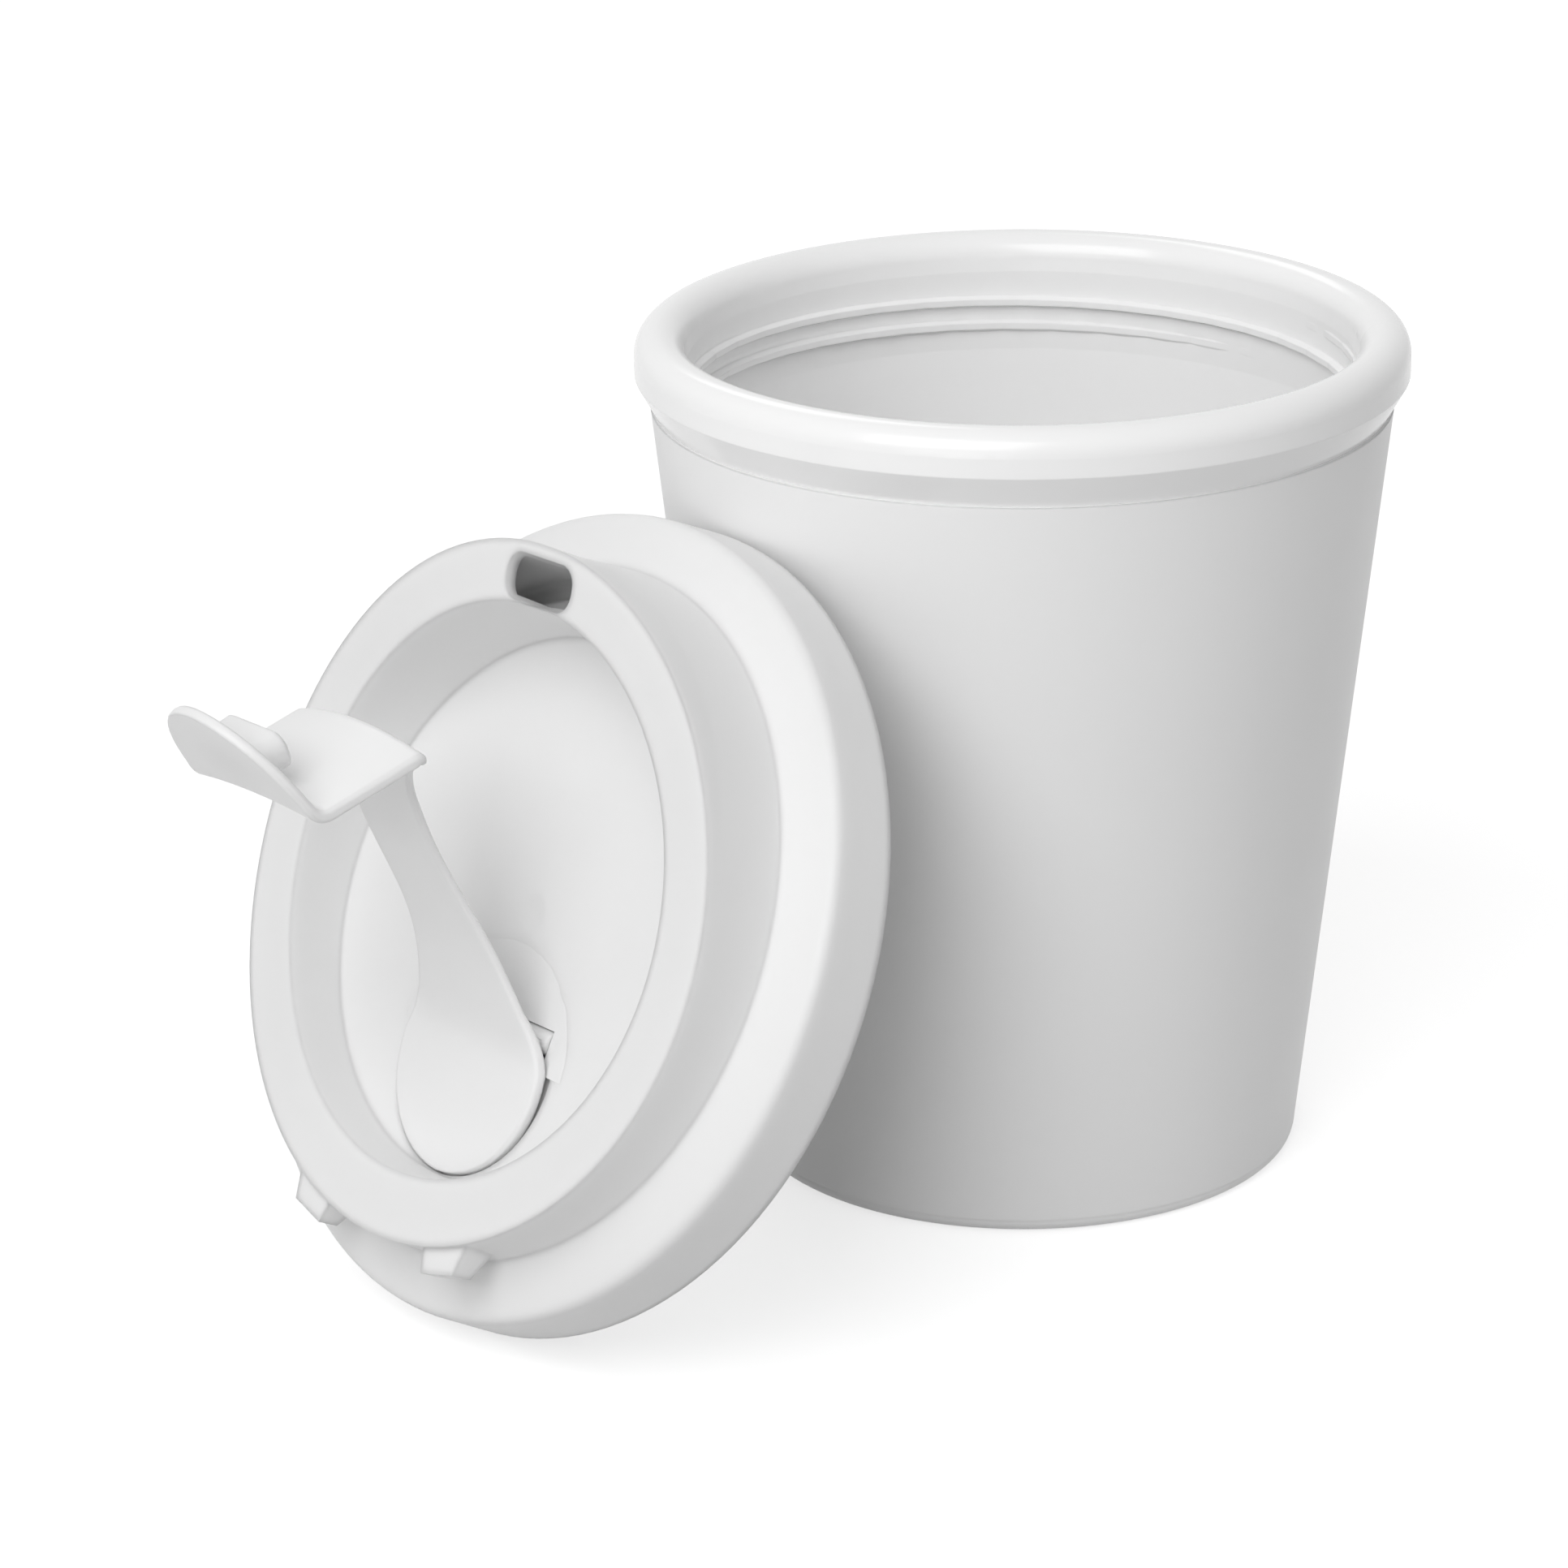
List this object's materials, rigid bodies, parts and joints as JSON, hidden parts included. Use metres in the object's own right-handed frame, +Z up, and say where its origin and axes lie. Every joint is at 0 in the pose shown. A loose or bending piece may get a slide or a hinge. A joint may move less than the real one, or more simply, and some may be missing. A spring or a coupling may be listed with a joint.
{
  "type": "reusable coffee cup",
  "caption": "Double-walled moulded plastic takeaway cup, its screw lid taken off and leaning on it, with a press-to-open rocker stopper shown open.",
  "frame": {"origin": "centre of the ring that the cup stands on, at table height", "axes": "+Z up along the cup's axis; the leaning lid faces the -X -Y side"},
  "size_m": [0.1394, 0.1319, 0.1028],
  "materials": {
    "shell_plastic": "satin",
    "liner_plastic": "gloss",
    "lid_plastic": "satin",
    "arm_plastic": "satin"
  },
  "bodies": {
    "cup": {"outer_shell": "shell_plastic", "inner_liner": "liner_plastic", "lid_body": "lid_plastic"},
    "stopper": {"stopper_arm": "arm_plastic"}
  },
  "joints": [
    {"name": "stopper_hinge", "type": "hinge", "parent": "cup", "child": "stopper", "pos_m": [-0.05943, -0.05221, 0.03472], "axis": [0.6665, -0.745, 0.028], "range_deg": [-46.5, 0]}
  ]
}
